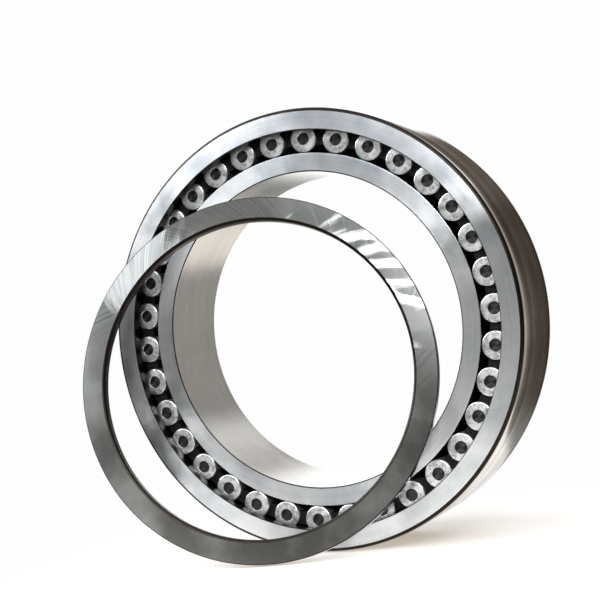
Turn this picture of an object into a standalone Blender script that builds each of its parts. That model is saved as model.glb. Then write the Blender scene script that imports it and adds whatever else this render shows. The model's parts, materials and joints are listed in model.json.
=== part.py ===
"""Single-row cylindrical roller bearing with its loose flange ring taken off.

The bearing stands on its outside, with its axis along Y and its open side
facing -Y.  The flange ring that closes that side stands on the same surface
and leans back against the bearing.  Metres, +Z up.  The origin is where the
outer ring rests, half way along its width.
"""
import math

import bmesh
import bpy
from mathutils import Matrix, Vector

# Driving dimensions.
OUTSIDE_RADIUS = 0.1400
BORE_RADIUS = 0.1000
WIDTH = 0.0640
CORNER = 0.0020                 # chamfer on the outer ring's outside corners
BORE_CORNER = 0.0012            # chamfer at the mouths of the bore
EDGE = 0.0004                   # small chamfer on all the other turned edges

ROLLER_COUNT = 34
ROLLER_RADIUS = 0.0088
PITCH_RADIUS = 0.1208           # circle on which the roller centres lie
ROLLER_CORNER = 0.0008
RECESS_RADIUS = 0.0041
RECESS_DEPTH = 0.0012

RIB_WIDTH = 0.0065              # also the loose flange ring's thickness
RIB_BORE_RADIUS = 0.1259
FLANGE_RADIUS = 0.1158
LOOSE_BORE_RADIUS = 0.1005
LOOSE_CORNER = 0.0019           # chamfer at the loose ring's outward bore mouth

CAGE_INNER_RADIUS = 0.1168
CAGE_OUTER_RADIUS = 0.1252
CAGE_RING_THICKNESS = 0.0050
BAR_SET_BACK = 0.0021           # how far the cage bars end behind the roller ends

RUNNING_GAP = 0.0003            # between rollers and raceways
END_GAP = 0.0004                # between roller ends and ribs, and in the cage pockets

# How the loose flange ring stands: it leans back, is turned a little about
# the vertical, and stands to the left and in front of the bearing.
LEAN = math.radians(9.8)
TURN = math.radians(11.8)
RING_STAND = Vector((-0.0317, -0.0485, 0.0))

# Facets of the round pieces.
RING_STEPS = 68
ROLLER_STEPS = 12
POCKET_STEPS = 20

# Worked out from the driving dimensions.
HALF_WIDTH = WIDTH / 2
SHOULDER = HALF_WIDTH - RIB_WIDTH           # height of the ribs' inner faces
ROLLER_HALF = SHOULDER - END_GAP
OUTER_RACEWAY = PITCH_RADIUS + ROLLER_RADIUS + RUNNING_GAP
INNER_RACEWAY = PITCH_RADIUS - ROLLER_RADIUS - RUNNING_GAP
FLAT_RATIO = math.cos(math.pi / RING_STEPS)  # a facet's middle to its corner
AXIS_HEIGHT = OUTSIDE_RADIUS

# Turned profiles are drawn with the bearing's axis as Z, front side up.
# This lays them down, so that the front side faces -Y, with a flat facet
# at the bottom.
HALF_STEP = math.pi / RING_STEPS
LAID_DOWN = (Matrix.Translation((0, 0, AXIS_HEIGHT))
             @ Matrix.Rotation(math.pi / 2, 4, "X")
             @ Matrix.Rotation(HALF_STEP, 4, "Z"))


def clear_scene():
    for thing in list(bpy.data.objects):
        bpy.data.objects.remove(thing, do_unlink=True)


def new_collection(name):
    collection = bpy.data.collections.new(name)
    bpy.context.scene.collection.children.link(collection)
    return collection


def new_material(name, colour, metallic, roughness):
    material = bpy.data.materials.new(name)
    material.use_nodes = True
    shader = material.node_tree.nodes["Principled BSDF"]
    shader.inputs["Base Color"].default_value = (*colour, 1.0)
    shader.inputs["Metallic"].default_value = metallic
    shader.inputs["Roughness"].default_value = roughness
    return material


def add_object(name, mesh, material, collection):
    thing = bpy.data.objects.new(name, mesh)
    mesh.materials.clear()
    mesh.materials.append(material)
    collection.objects.link(thing)
    return thing


def turned_mesh(name, profile, steps, closed):
    """Turn a profile of (radius, height) points about Z.

    The profile runs down the outer side.  A closed one ends where it began,
    and an open one begins and ends on the axis.
    """
    outline = bpy.data.meshes.new(name + "_profile")
    points = [(radius, 0.0, height) for radius, height in profile]
    edges = [(i, i + 1) for i in range(len(points) - 1)]
    if closed:
        edges.append((len(points) - 1, 0))
    outline.from_pydata(points, edges, [])
    holder = bpy.data.objects.new(name + "_profile", outline)
    bpy.context.scene.collection.objects.link(holder)
    screw = holder.modifiers.new("turn", "SCREW")
    screw.axis = "Z"
    screw.angle = 2 * math.pi
    screw.steps = steps
    screw.render_steps = steps
    screw.use_merge_vertices = True
    screw.merge_threshold = 0.00001
    screw.use_smooth_shade = True
    graph = bpy.context.evaluated_depsgraph_get()
    mesh = bpy.data.meshes.new_from_object(holder.evaluated_get(graph))
    mesh.name = name
    bpy.data.objects.remove(holder, do_unlink=True)
    bpy.data.meshes.remove(outline)
    mesh.shade_smooth()
    mesh.set_sharp_from_angle(angle=math.radians(30))
    return mesh


def outer_ring_profile():
    """Barrel, two ribs and the raceway between them."""
    outside = OUTSIDE_RADIUS / FLAT_RATIO
    raceway = OUTER_RACEWAY / FLAT_RATIO
    return [
        (outside - CORNER, HALF_WIDTH),
        (outside, HALF_WIDTH - CORNER),
        (outside, -HALF_WIDTH + CORNER),
        (outside - CORNER, -HALF_WIDTH),
        (RIB_BORE_RADIUS + EDGE, -HALF_WIDTH),
        (RIB_BORE_RADIUS, -HALF_WIDTH + EDGE),
        (RIB_BORE_RADIUS, -SHOULDER),
        (raceway, -SHOULDER),
        (raceway, SHOULDER),
        (RIB_BORE_RADIUS, SHOULDER),
        (RIB_BORE_RADIUS, HALF_WIDTH - EDGE),
        (RIB_BORE_RADIUS + EDGE, HALF_WIDTH),
    ]


def inner_ring_profile():
    """Raceway that is open at the front, and the solid flange at the back."""
    return [
        (INNER_RACEWAY - EDGE, SHOULDER),
        (INNER_RACEWAY, SHOULDER - EDGE),
        (INNER_RACEWAY, -SHOULDER),
        (FLANGE_RADIUS, -SHOULDER),
        (FLANGE_RADIUS, -HALF_WIDTH + EDGE),
        (FLANGE_RADIUS - EDGE, -HALF_WIDTH),
        (BORE_RADIUS + BORE_CORNER, -HALF_WIDTH),
        (BORE_RADIUS, -HALF_WIDTH + BORE_CORNER),
        (BORE_RADIUS, SHOULDER - EDGE),
        (BORE_RADIUS + EDGE, SHOULDER),
    ]


def flange_ring_profile():
    """Flat ring, its outward face up at height 0."""
    outside = FLANGE_RADIUS / FLAT_RATIO
    return [
        (outside - EDGE, 0.0),
        (outside, -EDGE),
        (outside, -RIB_WIDTH + EDGE),
        (outside - EDGE, -RIB_WIDTH),
        (LOOSE_BORE_RADIUS + EDGE, -RIB_WIDTH),
        (LOOSE_BORE_RADIUS, -RIB_WIDTH + EDGE),
        (LOOSE_BORE_RADIUS, -LOOSE_CORNER),
        (LOOSE_BORE_RADIUS + LOOSE_CORNER, 0.0),
    ]


def roller_profile():
    """Plain cylinder with broken corners and a recess in each end."""
    front_half = [
        (0.0, ROLLER_HALF - RECESS_DEPTH),
        (RECESS_RADIUS - RECESS_DEPTH / 2, ROLLER_HALF - RECESS_DEPTH),
        (RECESS_RADIUS, ROLLER_HALF),
        (ROLLER_RADIUS - ROLLER_CORNER, ROLLER_HALF),
        (ROLLER_RADIUS, ROLLER_HALF - ROLLER_CORNER),
    ]
    back_half = [(radius, -height) for radius, height in reversed(front_half)]
    return front_half + back_half


def cage_blank_profile():
    """Plain ring, before the roller pockets are cut from its front."""
    front = ROLLER_HALF - BAR_SET_BACK
    back = -SHOULDER - CAGE_RING_THICKNESS
    return [
        (CAGE_OUTER_RADIUS, front),
        (CAGE_OUTER_RADIUS, back),
        (CAGE_INNER_RADIUS, back),
        (CAGE_INNER_RADIUS, front),
    ]


def roller_angle(index):
    """Angle of a roller about the axis, from +X towards +Z."""
    return 2 * math.pi * index / ROLLER_COUNT


def pocket_cutter(collection):
    """One cylinder for each roller, closed, from the side ring forwards."""
    bm = bmesh.new()
    radius = (ROLLER_RADIUS + END_GAP) / math.cos(math.pi / POCKET_STEPS)
    length = 2 * HALF_WIDTH
    for index in range(ROLLER_COUNT):
        angle = roller_angle(index)
        place = Matrix.Rotation(angle, 4, "Z") @ Matrix.Translation(
            (PITCH_RADIUS, 0, -SHOULDER + length / 2))
        bmesh.ops.create_cone(bm, cap_ends=True, segments=POCKET_STEPS,
                              radius1=radius, radius2=radius, depth=length,
                              matrix=place)
    mesh = bpy.data.meshes.new("cage_pockets")
    bm.to_mesh(mesh)
    bm.free()
    cutter = bpy.data.objects.new("cage_pockets", mesh)
    cutter.hide_render = True
    cutter.display_type = "WIRE"
    collection.objects.link(cutter)
    return cutter


def build_bearing(parts, cutters, steel, roller_steel, black):
    upright = Matrix.Translation((0, 0, AXIS_HEIGHT)) @ Matrix.Rotation(math.pi / 2, 4, "X")

    centre = bpy.data.objects.new("bearing_axis", None)
    centre.matrix_world = LAID_DOWN
    parts.objects.link(centre)

    mesh = turned_mesh("outer_ring", outer_ring_profile(), RING_STEPS, True)
    add_object("outer_ring", mesh, steel, parts).parent = centre

    mesh = turned_mesh("inner_ring", inner_ring_profile(), RING_STEPS, True)
    add_object("inner_ring", mesh, steel, parts).parent = centre

    mesh = turned_mesh("cage", cage_blank_profile(), RING_STEPS, True)
    cage = add_object("cage", mesh, black, parts)
    cage.matrix_world = upright
    cutter = pocket_cutter(cutters)
    cutter.matrix_world = upright
    pockets = cage.modifiers.new("pockets", "BOOLEAN")
    pockets.operation = "DIFFERENCE"
    pockets.solver = "EXACT"
    pockets.object = cutter

    roller_mesh = turned_mesh("roller", roller_profile(), ROLLER_STEPS, False)
    for index in range(ROLLER_COUNT):
        roller = add_object(f"roller_{index + 1:02d}", roller_mesh, roller_steel, parts)
        around = Matrix.Rotation(roller_angle(index), 4, "Z")
        roller.matrix_world = upright @ around @ Matrix.Translation((PITCH_RADIUS, 0, 0))


def build_flange_ring(parts, steel):
    """The loose ring, standing on its lower back edge and leaning back."""
    height = FLANGE_RADIUS * math.cos(LEAN) + (RIB_WIDTH - EDGE) * math.sin(LEAN)
    mesh = turned_mesh("flange_ring", flange_ring_profile(), RING_STEPS, True)
    ring = add_object("flange_ring", mesh, steel, parts)
    ring.matrix_world = (Matrix.Translation(RING_STAND + Vector((0, 0, height)))
                         @ Matrix.Rotation(TURN, 4, "Z")
                         @ Matrix.Rotation(math.pi / 2 - LEAN, 4, "X")
                         @ Matrix.Rotation(HALF_STEP, 4, "Z"))


clear_scene()
part_collection = new_collection("cylindrical_roller_bearing")
cutter_collection = new_collection("cutters")
ground_steel = new_material("ground bearing steel", (0.56, 0.57, 0.58), 1.0, 0.28)
polished_steel = new_material("lapped roller steel", (0.70, 0.71, 0.72), 1.0, 0.15)
black_plastic = new_material("black cage", (0.012, 0.012, 0.013), 0.0, 0.55)
build_bearing(part_collection, cutter_collection, ground_steel, polished_steel, black_plastic)
build_flange_ring(part_collection, ground_steel)
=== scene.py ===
import json
import math

import bpy
from mathutils import Matrix, Vector

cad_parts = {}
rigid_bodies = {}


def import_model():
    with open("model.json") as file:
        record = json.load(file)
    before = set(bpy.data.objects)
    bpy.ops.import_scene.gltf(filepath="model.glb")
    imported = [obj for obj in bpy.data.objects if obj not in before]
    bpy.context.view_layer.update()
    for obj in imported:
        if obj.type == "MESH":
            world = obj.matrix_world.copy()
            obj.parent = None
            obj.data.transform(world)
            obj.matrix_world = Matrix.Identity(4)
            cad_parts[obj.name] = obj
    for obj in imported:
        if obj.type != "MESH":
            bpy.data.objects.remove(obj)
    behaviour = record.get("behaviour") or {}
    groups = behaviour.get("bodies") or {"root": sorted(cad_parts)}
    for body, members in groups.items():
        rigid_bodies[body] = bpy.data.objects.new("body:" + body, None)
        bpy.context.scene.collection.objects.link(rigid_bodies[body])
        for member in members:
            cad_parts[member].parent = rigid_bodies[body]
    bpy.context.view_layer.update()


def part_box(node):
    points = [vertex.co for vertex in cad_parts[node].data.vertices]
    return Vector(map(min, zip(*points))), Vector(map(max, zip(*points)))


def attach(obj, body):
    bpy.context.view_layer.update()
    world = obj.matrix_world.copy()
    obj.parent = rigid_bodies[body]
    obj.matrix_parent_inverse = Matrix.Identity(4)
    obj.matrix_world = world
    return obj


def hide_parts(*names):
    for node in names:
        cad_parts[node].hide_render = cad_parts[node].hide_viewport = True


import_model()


# ---------------------------------------------------------------- outer ring
# The outer ring is one through-hardened bearing-steel forging, turned and then
# ground, with a raceway inside and a solid rib at each end that keeps the rollers
# in. It stands on the floor with its axis along Y, and its open side faces -Y.
OUTER_LOW, OUTER_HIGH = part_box("outer_ring")
AXIS_HEIGHT = OUTER_HIGH.z / 2
AXIS = Vector((0, 0, AXIS_HEIGHT))
FRONT = OUTER_LOW.y
BACK = OUTER_HIGH.y
OUTER_RADIUS = AXIS_HEIGHT
RIB_RADIUS = 0.1259
OUTER_RACEWAY = 0.1298
RIB_WIDTH = 0.0065
OUTER_CORNER = 0.0020
RIB_CORNER = 0.0005
EASED_WIDTH = 0.0180
EASED_DROP = 0.0005
TURNED_STEPS = 288

# Points and faces are picked by their place, to within these distances.
CLOSE = 0.0001
TOUCHING = 0.00001


def deselect_everything():
    if bpy.context.mode != "OBJECT":
        bpy.ops.object.mode_set(mode="OBJECT")
    bpy.ops.object.select_all(action="DESELECT")


def pick(piece, kind, wanted):
    """Select, in edit mode, the vertices, edges or faces whose middle is wanted."""
    bpy.ops.object.mode_set(mode="EDIT")
    bpy.ops.mesh.select_mode(type=kind)
    bpy.ops.mesh.select_all(action="DESELECT")
    bpy.ops.object.mode_set(mode="OBJECT")
    mesh = piece.data
    points = mesh.vertices
    if kind == "VERT":
        for point in points:
            point.select = wanted(point.co)
    elif kind == "EDGE":
        for edge in mesh.edges:
            a, b = edge.vertices
            edge.select = wanted((points[a].co + points[b].co) / 2)
    else:
        for face in mesh.polygons:
            face.select = wanted(face.center)
    bpy.ops.object.mode_set(mode="EDIT")


def cut_section(name, inner, outer, front, back):
    """A flat plate, as if the ring were sawn through where it crosses +X."""
    deselect_everything()
    middle = ((inner + outer) / 2, (front + back) / 2, AXIS_HEIGHT)
    bpy.ops.mesh.primitive_plane_add(size=1, location=middle)
    plate = bpy.context.object
    plate.name = name
    plate.scale = (outer - inner, back - front, 1)
    bpy.ops.object.transform_apply(location=True, rotation=True, scale=True)
    return plate


def score(plate, radius=None, along=None):
    """Divide the plate at a radius, or at a place along the axis."""
    bpy.ops.object.mode_set(mode="EDIT")
    bpy.ops.mesh.select_all(action="SELECT")
    if radius is not None:
        bpy.ops.mesh.bisect(plane_co=(radius, 0, 0), plane_no=(1, 0, 0))
    else:
        bpy.ops.mesh.bisect(plane_co=(0, along, 0), plane_no=(0, 1, 0))
    bpy.ops.object.mode_set(mode="OBJECT")


def cut_away(plate, wanted):
    """Remove the parts of the plate that the tool takes off."""
    pick(plate, "FACE", wanted)
    bpy.ops.mesh.delete(type="FACE")
    bpy.ops.mesh.select_all(action="SELECT")
    bpy.ops.mesh.dissolve_faces()
    bpy.ops.object.mode_set(mode="OBJECT")


def break_corners(plate, size, wanted, steps=3, profile=0.5):
    pick(plate, "VERT", wanted)
    bpy.ops.mesh.bevel(offset=size, segments=steps, profile=profile, affect="VERTICES")
    bpy.ops.object.mode_set(mode="OBJECT")


def turn_solid(plate, steps=TURNED_STEPS, smooth_under=40):
    """Spin the plate's outline round the bearing's axis into a closed ring."""
    pick(plate, "FACE", lambda middle: True)
    bpy.ops.mesh.delete(type="ONLY_FACE")
    bpy.ops.mesh.select_mode(type="VERT")
    bpy.ops.mesh.select_all(action="SELECT")
    bpy.ops.mesh.spin(steps=steps, angle=2 * math.pi, center=AXIS, axis=(0, 1, 0))
    bpy.ops.mesh.select_all(action="SELECT")
    bpy.ops.mesh.remove_doubles(threshold=TOUCHING / 2)
    bpy.ops.mesh.normals_make_consistent(inside=False)
    bpy.ops.object.mode_set(mode="OBJECT")
    bpy.ops.object.shade_smooth_by_angle(angle=math.radians(smooth_under))
    # The wide ground faces stay flat, and only the small corners are shaded round.
    bpy.ops.object.modifier_add(type="WEIGHTED_NORMAL")
    plate.modifiers[-1].keep_sharp = True
    bpy.ops.object.modifier_apply(modifier=plate.modifiers[-1].name)


shoulder = FRONT + RIB_WIDTH
outer_ring = cut_section("outer_ring_turned", RIB_RADIUS, OUTER_RADIUS, FRONT, BACK)
score(outer_ring, radius=OUTER_RACEWAY)
score(outer_ring, along=shoulder)
score(outer_ring, along=-shoulder)
cut_away(outer_ring, lambda middle: middle.x < OUTER_RACEWAY and abs(middle.y) < -shoulder)
for edge in (FRONT, BACK):
    score(outer_ring, along=edge * (1 - EASED_WIDTH / BACK))
    pick(outer_ring, "VERT", lambda p: p.x > OUTER_RADIUS - CLOSE and abs(p.y - edge) < CLOSE)
    bpy.ops.transform.translate(value=(-EASED_DROP, 0, 0))
    bpy.ops.object.mode_set(mode="OBJECT")
pick(outer_ring, "FACE", lambda middle: True)
bpy.ops.mesh.dissolve_faces()
bpy.ops.object.mode_set(mode="OBJECT")
break_corners(outer_ring, OUTER_CORNER, lambda p: p.x > OUTER_RACEWAY
              and abs(p.y) > BACK - CLOSE, steps=4, profile=0.4)
break_corners(outer_ring, RIB_CORNER, lambda p: p.x < RIB_RADIUS + CLOSE)
turn_solid(outer_ring)


def linear(hex_colour):
    """An sRGB hex colour as the linear colour that the shaders take."""
    parts = [int(hex_colour[i:i + 2], 16) / 255 for i in (1, 3, 5)]
    parts = [c / 12.92 if c <= 0.04045 else ((c + 0.055) / 1.055) ** 2.4 for c in parts]
    return (*parts, 1.0)


def add_node(tree, kind, settings=None, links=None):
    """Add a node. Settings are properties or input values, and links go into its inputs."""
    made = tree.nodes.new(kind)
    for name, value in (settings or {}).items():
        if isinstance(name, str) and hasattr(made, name):
            setattr(made, name, value)
        else:
            made.inputs[name].default_value = value
    for name, source in (links or {}).items():
        tree.links.new(source, made.inputs[name])
    return made


def new_finish(name):
    """A material with nothing but a Principled shader and its output."""
    finish = bpy.data.materials.new(name)
    finish.use_nodes = True
    tree = finish.node_tree
    tree.nodes.clear()
    shader = add_node(tree, "ShaderNodeBsdfPrincipled")
    add_node(tree, "ShaderNodeOutputMaterial", links={"Surface": shader.outputs[0]})
    return finish, shader


def marked_steel(name, aniso):
    """Bare steel whose fine marks draw its reflections out across themselves."""
    finish, shader = new_finish(name)
    shader.inputs["Metallic"].default_value = 1.0
    shader.inputs["Anisotropic"].default_value = aniso
    shader.inputs["Anisotropic Rotation"].default_value = 0.25
    return finish, shader


def ring_coordinates(tree, centre, turn):
    """Object coordinates from a ring's centre, and the same turned to the ring's own axes."""
    place = add_node(tree, "ShaderNodeTexCoord")
    offset = add_node(tree, "ShaderNodeVectorMath", {"operation": "SUBTRACT", 1: centre},
                      {0: place.outputs["Object"]}).outputs[0]
    own = add_node(tree, "ShaderNodeMapping",
                   {"vector_type": "POINT", "Rotation": turn.inverted().to_euler()},
                   {"Vector": offset}).outputs[0]
    return offset, own


def lay_of_grinding(tree, offset, turn, sway=None):
    """The direction that the wheel's marks run in: round the ring, or swaying off that."""
    axis = turn @ Vector((0, 1, 0))
    lay = add_node(tree, "ShaderNodeVectorMath", {"operation": "CROSS_PRODUCT", 0: axis},
                   {1: offset}).outputs[0]
    if sway is not None:
        out = add_node(tree, "ShaderNodeVectorMath", {"operation": "SCALE"},
                       {0: offset, "Scale": sway}).outputs[0]
        lay = add_node(tree, "ShaderNodeVectorMath", {"operation": "ADD"}, {0: lay, 1: out}).outputs[0]
    return add_node(tree, "ShaderNodeVectorTransform",
                    {"vector_type": "VECTOR", "convert_from": "OBJECT", "convert_to": "WORLD"},
                    {"Vector": lay}).outputs[0]


def radius_and_depth(tree, point):
    """How far a point is from the ring's axis, and how far along it, in metres."""
    parts = add_node(tree, "ShaderNodeSeparateXYZ", links={0: point})
    flat = add_node(tree, "ShaderNodeCombineXYZ",
                    links={"X": parts.outputs["X"], "Z": parts.outputs["Z"]})
    radius = add_node(tree, "ShaderNodeVectorMath", {"operation": "LENGTH"},
                      {0: flat.outputs[0]})
    return radius.outputs["Value"], parts.outputs["Y"]


def spread(tree, value, low, high, to_low, to_high):
    """Map a value's range low..high to another, clamped at its ends."""
    return add_node(tree, "ShaderNodeMapRange",
                    {"From Min": low, "From Max": high, "To Min": to_low, "To Max": to_high},
                    {"Value": value}).outputs[0]


UNTURNED = Matrix.Identity(3)


def ground_steel(name, light, dark, rough, aniso, lines_mm, sway_low=0.0, sway_high=0.0,
                 crown=0.0, painted_reflection_colour=None):
    """Hardened steel with the fine lines of a grinding wheel running round the ring.

    The lines are drawn ten or more times coarser than the real ones, to show at all.
    """
    finish, shader = marked_steel(name, aniso)
    tree = finish.node_tree
    offset, own = ring_coordinates(tree, AXIS, UNTURNED)
    radius, along = radius_and_depth(tree, own)
    across = add_node(tree, "ShaderNodeMath", {"operation": "ADD"}, {0: radius, 1: along})
    line_place = add_node(tree, "ShaderNodeCombineXYZ", links={"X": across.outputs[0]})
    drift = add_node(tree, "ShaderNodeVectorMath", {"operation": "SCALE", "Scale": 0.012},
                     {0: own})
    line_point = add_node(tree, "ShaderNodeVectorMath", {"operation": "ADD"},
                          {0: line_place.outputs[0], 1: drift.outputs[0]})
    lines = add_node(tree, "ShaderNodeTexNoise",
                     {"Scale": 1000 / lines_mm, "Detail": 3.0, "Roughness": 0.7},
                     {"Vector": line_point.outputs[0]}).outputs["Fac"]
    # The wheel has cut a little unevenly, in clouds some 35 mm across.
    cloud = add_node(tree, "ShaderNodeTexNoise",
                     {"Scale": 28.0, "Detail": 5.0, "Roughness": 0.55},
                     {"Vector": own}).outputs["Fac"]
    shade = add_node(tree, "ShaderNodeMix", {"data_type": "RGBA", 6: linear(dark), 7: linear(light)},
                     {0: spread(tree, cloud, 0.35, 0.62, 0.0, 1.0)})
    streak = add_node(tree, "ShaderNodeMix", {"data_type": "RGBA", "blend_type": "MULTIPLY",
                                              0: 1.0, 7: (1, 1, 1, 1)}, {6: shade.outputs[2]})
    tree.links.new(spread(tree, lines, 0.30, 0.60, 0.86, 1.0), streak.inputs[7])
    colour = streak.outputs[2]
    if painted_reflection_colour:
        # Darker bands some 12 mm wide are painted on, fewest at the front, as a painted
        # reflection: the lighter front stands in for a bright band along the barrel's edge.
        bands = add_node(tree, "ShaderNodeTexNoise", {"Scale": 85.0, "Detail": 3.0},
                         {"Vector": line_point.outputs[0]}).outputs["Fac"]
        painted_reflection_lightness = add_node(tree, "ShaderNodeMath", {"operation": "ADD"},
                         {0: bands, 1: spread(tree, along, FRONT, BACK, 0.20, -0.10)}).outputs[0]
        colour = add_node(tree, "ShaderNodeMix", {"data_type": "RGBA", 6: linear(painted_reflection_colour)},
                          {0: spread(tree, painted_reflection_lightness, 0.34, 0.68, 0.0, 1.0), 7: colour}).outputs[2]
    tree.links.new(colour, shader.inputs["Base Color"])
    sway = spread(tree, cloud, 0.3, 0.7, sway_low, sway_high)
    tree.links.new(lay_of_grinding(tree, offset, UNTURNED, sway), shader.inputs["Tangent"])
    tree.links.new(spread(tree, cloud, 0.3, 0.7, rough * 0.85, rough * 1.15),
                   shader.inputs["Roughness"])
    if crown:
        # A ground face is a touch higher in its middle, so its light leans outwards.
        lean = add_node(tree, "ShaderNodeVectorTransform",
                        {"vector_type": "VECTOR", "convert_from": "OBJECT", "convert_to": "WORLD"},
                        {"Vector": offset}).outputs[0]
        straight = add_node(tree, "ShaderNodeNewGeometry").outputs["Normal"]
        leaned = add_node(tree, "ShaderNodeVectorMath",
                          {"operation": "MULTIPLY_ADD", 1: (crown / RIB_RADIUS,) * 3},
                          {0: lean, 2: straight}).outputs[0]
        leaned = add_node(tree, "ShaderNodeVectorMath", {"operation": "NORMALIZE"}, {0: leaned})
        tree.links.new(leaned.outputs[0], shader.inputs["Normal"])
    return finish


def finish_faces(piece, finish, wanted):
    """Give the faces whose middle is wanted a finish of their own."""
    piece.data.materials.append(finish)
    pick(piece, "FACE", wanted)
    piece.active_material_index = len(piece.data.materials) - 1
    bpy.ops.object.material_slot_assign()
    bpy.ops.object.mode_set(mode="OBJECT")


def from_axis(middle):
    return math.hypot(middle.x, middle.z - AXIS_HEIGHT)


def one_colour_steel(name, colour, rough):
    """Hardened steel of one colour, without the pale lines of grinding."""
    finish, shader = new_finish(name)
    shader.inputs["Base Color"].default_value = linear(colour)
    shader.inputs["Metallic"].default_value = 1.0
    shader.inputs["Roughness"].default_value = rough
    return finish


# The faces are coarse ground, and their light fans out from the axis. The barrel
# is ground finer, mirrors the room, and has darker bands painted on as a painted
# reflection. The raceways and rib bores are painted dark as painted shade, and the
# corners dark brown as painted dark reflections.
face_steel = ground_steel("ground_bearing_steel", "#EBEBEB", "#C0C4C7", 0.32, 0.9, 0.7,
                          -0.22, 0.02, crown=0.05)
barrel_steel = ground_steel("fine_ground_steel", "#F0ECE6", "#CEC8C0", 0.13, 0.3, 2.5,
                            painted_reflection_colour="#6A5E52")
shaded_raceways = one_colour_steel("raceway_painted_shade", "#30302E", 0.3)
painted_dark_corners = one_colour_steel("painted_dark_reflection_edges", "#2C2621", 0.35)
outer_ring.data.materials.append(face_steel)
finish_faces(outer_ring, barrel_steel, lambda m: from_axis(m) > OUTER_RACEWAY
             and abs(m.y) < BACK - OUTER_CORNER)
finish_faces(outer_ring, shaded_raceways, lambda m: from_axis(m) < OUTER_RACEWAY + CLOSE
             and (abs(m.y) < RIB_CORNER - shoulder + CLOSE or from_axis(m) < RIB_RADIUS + CLOSE))
finish_faces(outer_ring, painted_dark_corners, lambda m: BACK - OUTER_CORNER < abs(m.y) < BACK - TOUCHING
             and (from_axis(m) > OUTER_RADIUS - OUTER_CORNER - EASED_DROP
                  or from_axis(m) < RIB_RADIUS + RIB_CORNER))
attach(outer_ring, "outer_ring")
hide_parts("outer_ring")


# ---------------------------------------------------------------- inner ring
# The inner ring is the same steel, with a raceway outside and one solid
# flange at the back. Its front has no flange: the loose ring closes it.
BORE_RADIUS = 0.1000
INNER_RACEWAY = 0.1118
FLANGE_RADIUS = 0.1158
BORE_CORNER = 0.0008
FLANGE_CORNER = 0.0004

inner_ring = cut_section("inner_ring_turned", BORE_RADIUS, FLANGE_RADIUS, shoulder, BACK)
score(inner_ring, radius=INNER_RACEWAY)
score(inner_ring, along=-shoulder)
cut_away(inner_ring, lambda middle: middle.x > INNER_RACEWAY and middle.y < -shoulder)
break_corners(inner_ring, BORE_CORNER, lambda p: p.x < BORE_RADIUS + CLOSE)
break_corners(inner_ring, FLANGE_CORNER, lambda p: p.x > INNER_RACEWAY - CLOSE
              and not (abs(p.y + shoulder) < CLOSE and p.x < INNER_RACEWAY + CLOSE))
turn_solid(inner_ring)

# Its front is ground the other way across, and its bore to a plain satin.
bore_steel = ground_steel("satin_bore_steel", "#D4D2CF", "#C6C4C0", 0.24, 0.5, 0.8)
inner_ring.data.materials.append(ground_steel("cross_ground_bearing_steel", "#EBEBEB", "#C0C4C7",
                                              0.32, 0.9, 0.7, -0.12, 0.14, crown=0.05))
finish_faces(inner_ring, bore_steel, lambda m: from_axis(m) < BORE_RADIUS + CLOSE / 2)
# Its raceway is painted dark, as painted shade.
finish_faces(inner_ring, shaded_raceways, lambda m: from_axis(m) > INNER_RACEWAY - CLOSE
             and abs(m.y) < -shoulder - CLOSE)
# Its bore's corners are painted dark brown, as painted dark reflections.
finish_faces(inner_ring, painted_dark_corners,
             lambda m: (m.y < shoulder + BORE_CORNER or m.y > BACK - BORE_CORNER)
             and BORE_RADIUS + CLOSE / 2 < from_axis(m) < BORE_RADIUS + BORE_CORNER - TOUCHING)
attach(inner_ring, "inner_ring")
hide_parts("inner_ring")


# --------------------------------------------------------------- flange ring
# The loose flange ring is a flat washer of the same steel, face-ground on a
# rotary table and lapped. It stands on its edge and leans on the bearing.
LEAN = math.radians(9.8)
TURN = math.radians(11.8)
LOOSE_BORE_RADIUS = 0.1005
LOOSE_CHAMFER = 0.0019
LOOSE_RIM_CORNER = 0.0006
LOOSE_BACK_CORNER = 0.0004

flange_low, flange_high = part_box("flange_ring")
flange_ring = cut_section("flange_ring_ground", LOOSE_BORE_RADIUS, FLANGE_RADIUS, 0.0, RIB_WIDTH)
break_corners(flange_ring, LOOSE_RIM_CORNER, lambda p: p.x > FLANGE_RADIUS - CLOSE)
break_corners(flange_ring, LOOSE_BACK_CORNER,
              lambda p: p.x < LOOSE_BORE_RADIUS + CLOSE and p.y > RIB_WIDTH - CLOSE)
break_corners(flange_ring, LOOSE_CHAMFER, lambda p: p.x < LOOSE_BORE_RADIUS + CLOSE and p.y < CLOSE)
turn_solid(flange_ring)

flange_place = Matrix.Rotation(TURN, 3, "Z") @ Matrix.Rotation(-LEAN, 3, "X")
flange_ring.data.transform(flange_place.to_4x4() @ Matrix.Translation(-AXIS))
tilted = [v.co for v in flange_ring.data.vertices]
tilted_low = Vector(min(co[i] for co in tilted) for i in range(3))
tilted_high = Vector(max(co[i] for co in tilted) for i in range(3))
flange_centre = (flange_low + flange_high - tilted_low - tilted_high) / 2


def off_axis(middle):
    """How far a point is from the loose ring's own axis, and how deep behind its face."""
    own = flange_place.inverted() @ (middle - flange_centre)
    return math.hypot(own.x, own.z), own.y


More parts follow.
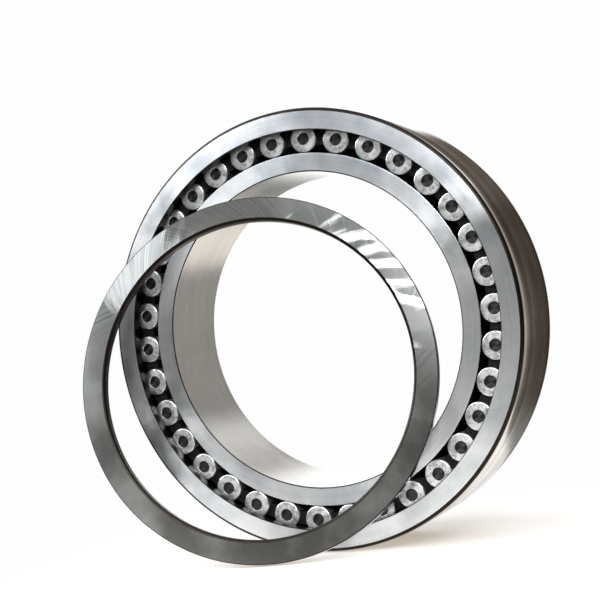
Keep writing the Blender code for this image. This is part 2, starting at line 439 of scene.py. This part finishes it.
def lapped_steel(name):
    """Face-ground steel whose marks cross in patches that catch or miss the light."""
    finish, shader = marked_steel(name, 0.85)
    tree = finish.node_tree
    offset, own = ring_coordinates(tree, flange_centre, flange_place)
    radius = radius_and_depth(tree, own)[0]

    def wound(turns):
        """The ring's coordinates, wound round its axis more and more further out."""
        angle = add_node(tree, "ShaderNodeMath", {"operation": "MULTIPLY", 1: turns},
                         {0: radius})
        return add_node(tree, "ShaderNodeVectorRotate",
                        {"rotation_type": "AXIS_ANGLE", "Axis": (0, 1, 0)},
                        {"Vector": own, "Angle": angle.outputs[0]}).outputs[0]

    def hatching(turns, scale):
        """Fine marks side by side, drawn some ten times coarser than the real ones."""
        flat = add_node(tree, "ShaderNodeVectorMath", {"operation": "NORMALIZE"},
                        {0: wound(turns)})
        return add_node(tree, "ShaderNodeTexNoise", {"Scale": scale, "Detail": 3.0},
                        {"Vector": flat.outputs[0]}).outputs["Fac"]

    # Patches some 14 mm across, drawn out towards the ring's edges.
    winding = wound(-7.0)
    round_it = add_node(tree, "ShaderNodeVectorMath", {"operation": "NORMALIZE"}, {0: winding})
    round_it = add_node(tree, "ShaderNodeVectorMath", {"operation": "SCALE", "Scale": 0.08},
                        {0: round_it.outputs[0]})
    squeezed = add_node(tree, "ShaderNodeVectorMath",
                        {"operation": "MULTIPLY_ADD", 1: (0.3, 0.3, 0.3)},
                        {0: winding, 2: round_it.outputs[0]}).outputs[0]
    patches = add_node(tree, "ShaderNodeTexNoise",
                       {"Scale": 72.0, "Detail": 3.0, "Roughness": 0.55},
                       {"Vector": squeezed}).outputs["Fac"]
    # The lapping has cut most at two places, to the upper left and the right.
    heading = add_node(tree, "ShaderNodeVectorMath", {"operation": "NORMALIZE"}, {0: own}).outputs[0]
    for angle, reach, more in ((130, 29, 0.50), (40, 46, 0.30)):
        aim = (math.cos(math.radians(angle)), 0, math.sin(math.radians(angle)))
        near = add_node(tree, "ShaderNodeVectorMath", {"operation": "DOT_PRODUCT", 1: aim},
                        {0: heading}).outputs["Value"]
        rise = spread(tree, near, math.cos(math.radians(reach)), 1.0, 0.0, more)
        patches = add_node(tree, "ShaderNodeMath", {"operation": "ADD"},
                           {0: patches, 1: rise}).outputs[0]
    mask = spread(tree, patches, 0.74, 0.92, 0.0, 1.0)
    hatch = add_node(tree, "ShaderNodeMix", {"data_type": "FLOAT"},
                     {0: mask, 2: hatching(9.0, 240.0), 3: hatching(-9.0, 210.0)}).outputs[0]
    # The marks show on the upper half. Below, the colour is painted darker towards
    # the bottom, as painted shade, broken by soft clouds.
    cloud = add_node(tree, "ShaderNodeTexNoise", {"Scale": 22.0, "Detail": 4.0},
                     {"Vector": own}).outputs["Fac"]
    height_for_painted_shade = add_node(tree, "ShaderNodeSeparateXYZ", {}, {"Vector": heading}).outputs["Z"]
    marked = add_node(tree, "ShaderNodeMath", {"operation": "MULTIPLY"},
                      {0: spread(tree, hatch, 0.36, 0.60, 0.0, 1.0),
                       1: spread(tree, height_for_painted_shade, -0.35, 0.45, 0.06, 1.0)}).outputs[0]
    marked = add_node(tree, "ShaderNodeMath", {"operation": "MAXIMUM"},
                      {0: marked, 1: spread(tree, cloud, 0.42, 0.66, 0.0, 1.0)}).outputs[0]
    shade = add_node(tree, "ShaderNodeMix",
                     {"data_type": "RGBA", 6: linear("#9C9D9A"), 7: linear("#E6E8E6")},
                     {0: marked})
    tree.links.new(shade.outputs[2], shader.inputs["Base Color"])
    sway = spread(tree, mask, 0.0, 1.0, 0.35, 0.0)
    tree.links.new(lay_of_grinding(tree, offset, flange_place, sway), shader.inputs["Tangent"])
    tree.links.new(spread(tree, mask, 0.0, 1.0, 0.13, 0.40), shader.inputs["Roughness"])
    return finish


flange_ring.data.transform(Matrix.Translation(flange_centre))
flange_ring.data.materials.append(lapped_steel("lapped_flange_steel"))
finish_faces(flange_ring, one_colour_steel("turned_clearance_bore_steel", "#4A4846", 0.3),
             lambda m: off_axis(m)[0] < LOOSE_BORE_RADIUS + CLOSE / 2)
# Its chamfer and rim corner are painted dark brown, as painted dark reflections.
finish_faces(flange_ring, painted_dark_corners, lambda m: TOUCHING < off_axis(m)[1] < LOOSE_CHAMFER
             and (CLOSE / 2 < off_axis(m)[0] - LOOSE_BORE_RADIUS < LOOSE_CHAMFER
                  or TOUCHING < FLANGE_RADIUS - off_axis(m)[0] < LOOSE_RIM_CORNER))
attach(flange_ring, "flange_ring")
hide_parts("flange_ring")


# ------------------------------------------------------------------- rollers
# Each roller is a plain cylinder of hardened steel, ground all over, with
# rounded corners and a turned recess in each end face.
ROLLER_COUNT = 34
ROLLER_RADIUS = 0.0088
PITCH_RADIUS = 0.1208
ROLLER_CORNER = 0.0008
ROLLER_PLAY = 0.0004
RECESS_RADIUS = 0.0041
RECESS_LIP = 0.00025
RECESS_TAPER = 0.0002
RECESS_WALL = 0.0009
RECESS_FLOOR_RING = 0.0030
roller_end = -shoulder - ROLLER_PLAY

deselect_everything()
bpy.ops.mesh.primitive_cylinder_add(vertices=48, radius=ROLLER_RADIUS, depth=2 * roller_end,
                                    location=(PITCH_RADIUS, 0, AXIS_HEIGHT),
                                    rotation=(math.pi / 2, 0, 0))
roller = bpy.context.object
roller.name = "roller_blank"
bpy.ops.object.transform_apply(location=True, rotation=True, scale=True)
for side in (-1, 1):
    pick(roller, "FACE", lambda middle: middle.y * side > roller_end - CLOSE)
    bpy.ops.mesh.inset(thickness=ROLLER_RADIUS - RECESS_RADIUS)
    bpy.ops.mesh.inset(thickness=RECESS_LIP)
    bpy.ops.transform.translate(value=(0, -RECESS_LIP * side, 0))
    bpy.ops.mesh.inset(thickness=RECESS_TAPER)
    bpy.ops.transform.translate(value=(0, -RECESS_WALL * side, 0))
    bpy.ops.mesh.inset(thickness=RECESS_FLOOR_RING)
    bpy.ops.object.mode_set(mode="OBJECT")


def from_roller_axis(middle):
    return math.hypot(middle.x - PITCH_RADIUS, middle.z - AXIS_HEIGHT)


pick(roller, "EDGE", lambda middle: from_roller_axis(middle) > ROLLER_RADIUS - CLOSE
     and abs(middle.y) > roller_end - CLOSE)
bpy.ops.mesh.bevel(offset=ROLLER_CORNER, segments=4, affect="EDGES")
bpy.ops.object.mode_set(mode="OBJECT")
bpy.ops.object.shade_smooth_by_angle(angle=math.radians(35))


def roller_metal(name, aniso):
    """Steel whose marks run round its roller's own centre, which each mesh carries."""
    finish, shader = marked_steel(name, aniso)
    tree = finish.node_tree
    place = add_node(tree, "ShaderNodeTexCoord").outputs["Object"]
    own_centre = add_node(tree, "ShaderNodeAttribute", {"attribute_name": "centre"})
    offset = add_node(tree, "ShaderNodeVectorMath", {"operation": "SUBTRACT"},
                      {0: place, 1: own_centre.outputs["Vector"]}).outputs[0]
    tree.links.new(lay_of_grinding(tree, offset, UNTURNED), shader.inputs["Tangent"])
    return finish, shader, place


# The ends are ground bright, with faint stains some 3 mm across.
roller_steel, shader, place = roller_metal("ground_roller_steel", 0.55)
tree = roller_steel.node_tree
stain = add_node(tree, "ShaderNodeTexNoise", {"Scale": 380.0, "Detail": 4.0, "Roughness": 0.65},
                 {"Vector": place}).outputs["Fac"]
shade = add_node(tree, "ShaderNodeMix",
                 {"data_type": "RGBA", 6: linear("#9C9C9A"), 7: linear("#F4F4F2")},
                 {0: spread(tree, stain, 0.34, 0.56, 0.0, 1.0)})
tree.links.new(shade.outputs[2], shader.inputs["Base Color"])
tree.links.new(spread(tree, stain, 0.3, 0.7, 0.40, 0.30), shader.inputs["Roughness"])
roller.data.materials.append(roller_steel)

# The recess is left as turned, so its rings throw two fans of light that meet
# in the middle.
recess_steel, shader, place = roller_metal("turned_recess_steel", 0.95)
shader.inputs["Base Color"].default_value = linear("#444446")
shader.inputs["Roughness"].default_value = 0.34
finish_faces(roller, recess_steel, lambda m: abs(m.y) < roller_end - RECESS_LIP - CLOSE / 2
             and from_roller_axis(m) < RECESS_RADIUS)

for number in range(ROLLER_COUNT):
    name = f"roller_{number + 1:02d}"
    low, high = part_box(name)
    middle = (low + high) / 2
    made = bpy.data.objects.new(name + "_ground", roller.data.copy())
    bpy.context.scene.collection.objects.link(made)
    made.data.transform(Matrix.Translation((middle.x - PITCH_RADIUS, 0, middle.z - AXIS_HEIGHT)))
    centres = made.data.attributes.new("centre", "FLOAT_VECTOR", "POINT")
    for vertex in range(len(made.data.vertices)):
        centres.data[vertex].vector = middle
    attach(made, name)
    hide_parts(name)
bpy.data.objects.remove(roller)


# ---------------------------------------------------------------------- cage
# The cage is one moulded comb of black glass-filled polyamide: a ring behind
# the rollers, and a bar between each two that ends short of their front ends.
# The rollers' pockets are open in front, and the comb clips in from behind.
CAGE_INNER_RADIUS = 0.1168
CAGE_OUTER_RADIUS = 0.1252
CAGE_RING_THICKNESS = 0.0050
CAGE_CORNER = 0.0006
MOULDED_EDGE = 0.0003
BAR_SET_BACK = 0.0021
POCKET_GAP = 0.0003
POCKET_OVERRUN = 0.002

bar_front = -roller_end + BAR_SET_BACK
cage = cut_section("cage_moulding", CAGE_INNER_RADIUS, CAGE_OUTER_RADIUS,
                   bar_front, -shoulder + CAGE_RING_THICKNESS)
break_corners(cage, CAGE_CORNER, lambda p: p.y > 0, steps=2)
turn_solid(cage, steps=8 * ROLLER_COUNT)

deselect_everything()
pocket_length = -shoulder - bar_front + POCKET_OVERRUN
for number in range(ROLLER_COUNT):
    angle = 2 * math.pi * number / ROLLER_COUNT
    place = (PITCH_RADIUS * math.cos(angle), -shoulder - pocket_length / 2,
             AXIS_HEIGHT + PITCH_RADIUS * math.sin(angle))
    bpy.ops.mesh.primitive_cylinder_add(vertices=40, radius=ROLLER_RADIUS + POCKET_GAP,
                                        depth=pocket_length, location=place,
                                        rotation=(math.pi / 2, 0, 0))
    cutter = bpy.context.object
    cutter.name = f"pocket_{number + 1:02d}"
bpy.ops.object.select_pattern(pattern="pocket_*", extend=False)
bpy.ops.object.join()
cutters = bpy.context.object
deselect_everything()
bpy.context.view_layer.objects.active = cage
cage.select_set(True)
pockets = cage.modifiers.new("pockets", "BOOLEAN")
pockets.operation = "DIFFERENCE"
pockets.solver = "EXACT"
pockets.object = cutters
bpy.ops.object.modifier_apply(modifier="pockets")
bpy.data.objects.remove(cutters)
edges = cage.modifiers.new("moulded edges", "BEVEL")
edges.width = MOULDED_EDGE
edges.segments = 2
edges.limit_method = "ANGLE"
edges.angle_limit = math.radians(35)
bpy.ops.object.modifier_apply(modifier="moulded edges")
bpy.ops.object.shade_smooth_by_angle(angle=math.radians(35))

# Moulded plastic with a fine matt grain, which stays black in the rollers' shade.
cage_black, shader = new_finish("moulded_black_polyamide")
shader.inputs["Base Color"].default_value = linear("#070708")
shader.inputs["Roughness"].default_value = 0.6
shader.inputs["Specular IOR Level"].default_value = 0.2
cage.data.materials.append(cage_black)
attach(cage, "cage")
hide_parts("cage")


# --------------------------------------------------------------------- stage
# A pale floor that glows a little, the room that the steel mirrors, and the
# camera. The room is painted on the world, and the camera sees white instead.
FLOOR_DROP = 0.0002

deselect_everything()
bpy.ops.mesh.primitive_plane_add(size=1, location=(0.14, -0.015, -FLOOR_DROP))
floor = bpy.context.object
floor.name = "floor"
floor.scale = (0.72, 0.37, 1)
bpy.ops.object.transform_apply(location=True, rotation=True, scale=True)
floor_white, shader = new_finish("backlit_white_sheet")
shader.inputs["Base Color"].default_value = linear("#BEBDBB")
shader.inputs["Roughness"].default_value = 0.8
shader.inputs["Emission Color"].default_value = linear("#FFF3E6")
shader.inputs["Emission Strength"].default_value = 0.40
floor.data.materials.append(floor_white)

world = bpy.data.worlds.new("studio")
bpy.context.scene.world = world
world.use_nodes = True
tree = world.node_tree
tree.nodes.clear()
heading = add_node(tree, "ShaderNodeTexCoord").outputs["Generated"]


def patch(azimuth, elevation, full, start, squash=1.0):
    """How far a heading is inside a soft-edged patch of the room, 0 to 1.

    Azimuth 0 is the side the bearing faces, and 90 is its right-hand side.
    """
    level = math.cos(math.radians(elevation))
    aim = Vector((math.sin(math.radians(azimuth)) * level,
                  -math.cos(math.radians(azimuth)) * level,
                  math.sin(math.radians(elevation))))
    off = add_node(tree, "ShaderNodeVectorMath", {"operation": "SUBTRACT", 1: aim}, {0: heading})
    flat = add_node(tree, "ShaderNodeVectorMath", {"operation": "MULTIPLY", 1: (1, 1, squash)},
                    {0: off.outputs[0]})
    far = add_node(tree, "ShaderNodeVectorMath", {"operation": "LENGTH"}, {0: flat.outputs[0]})
    return add_node(tree, "ShaderNodeMapRange",
                    {"interpolation_type": "SMOOTHSTEP",
                     "From Min": 2 * math.sin(math.radians(start / 2)),
                     "From Max": 2 * math.sin(math.radians(full / 2))},
                    {"Value": far.outputs["Value"]}).outputs[0]


wall = add_node(tree, "ShaderNodeRGB")
wall.outputs[0].default_value = linear("#868887")
room = wall.outputs[0]
for where, colour, strength in (
        # The ceiling and the floor, and bright sheets behind the bearing.
        ((0, 90, 38, 60), "#DCEBFF", 0.9),
        ((0, -60, 45, 75), "#62645F", 1.0),
        ((220, 12, 22, 36), "#FFFFFF", 1.9),
        ((180, 45, 20, 34), "#F8F8F6", 1.2),
        ((170, -43, 17, 27), "#E8E2DA", 1.7),
        # Dark boards and pale cards on the side that the bearing faces.
        ((-58, 0, 28, 40, 1.4), "#1C1D1E", 1.0),
        ((36, 8, 24, 34), "#3A3A38", 1.0),
        ((-2, 18, 10, 20), "#828280", 1.0),
        ((-12, -4, 7, 15), "#F4F4F0", 1.2),
        # Boards behind it, which show in the barrel and the loose ring.
        ((150, 0, 16, 26, 0.8), "#B4B2AE", 1.0),
        ((173, 2, 9, 15, 0.6), "#4C443C", 1.0),
        ((184, 18, 7, 12), "#665C54", 1.0),
        # One more pale card in front, and four small lamps.
        ((-24, 21, 7, 15), "#D2D6DA", 1.0),
        ((-70, 30, 12, 20), "#FAFCFF", 13.0),
        ((-49, 40, 12, 20), "#F6FAFF", 7.0),
        ((23, 33, 10, 16), "#FAFCFF", 17.0),
        ((6, 47, 9, 16), "#F6FAFF", 8.0)):
    shade = [c * strength for c in linear(colour)[:3]]
    room = add_node(tree, "ShaderNodeMix", {"data_type": "RGBA", 7: (*shade, 1)},
                    {0: patch(*where), 6: room}).outputs[2]
way = add_node(tree, "ShaderNodeLightPath")
lit = add_node(tree, "ShaderNodeBackground", links={"Color": room})
seen = add_node(tree, "ShaderNodeBackground", {"Color": linear("#FEFEFE"), "Strength": 1.0})
mixed = add_node(tree, "ShaderNodeMixShader",
                 links={0: way.outputs["Is Camera Ray"], 1: lit.outputs[0], 2: seen.outputs[0]})
add_node(tree, "ShaderNodeOutputWorld", links={"Surface": mixed.outputs[0]})

camera_data = bpy.data.cameras.new("camera")
camera_data.sensor_width = 36
camera_data.lens = 79.7
camera = bpy.data.objects.new("camera", camera_data)
bpy.context.scene.collection.objects.link(camera)
azimuth, elevation, roll = math.radians(24.82), math.radians(-0.77), math.radians(7.15)
turned = (Matrix.Rotation(azimuth, 4, "Z") @ Matrix.Rotation(math.pi / 2 - elevation, 4, "X")
          @ Matrix.Rotation(-roll, 4, "Z"))
# Where it stands from the middle of the bearing's front, as it looks: aside, up, away.
away = turned.to_3x3() @ Vector((-0.003905, 0.019243, 0.834496))
camera.matrix_world = Matrix.Translation(Vector((0, FRONT, AXIS_HEIGHT)) + away) @ turned
bpy.context.scene.camera = camera
bpy.context.scene.view_settings.view_transform = "Standard"
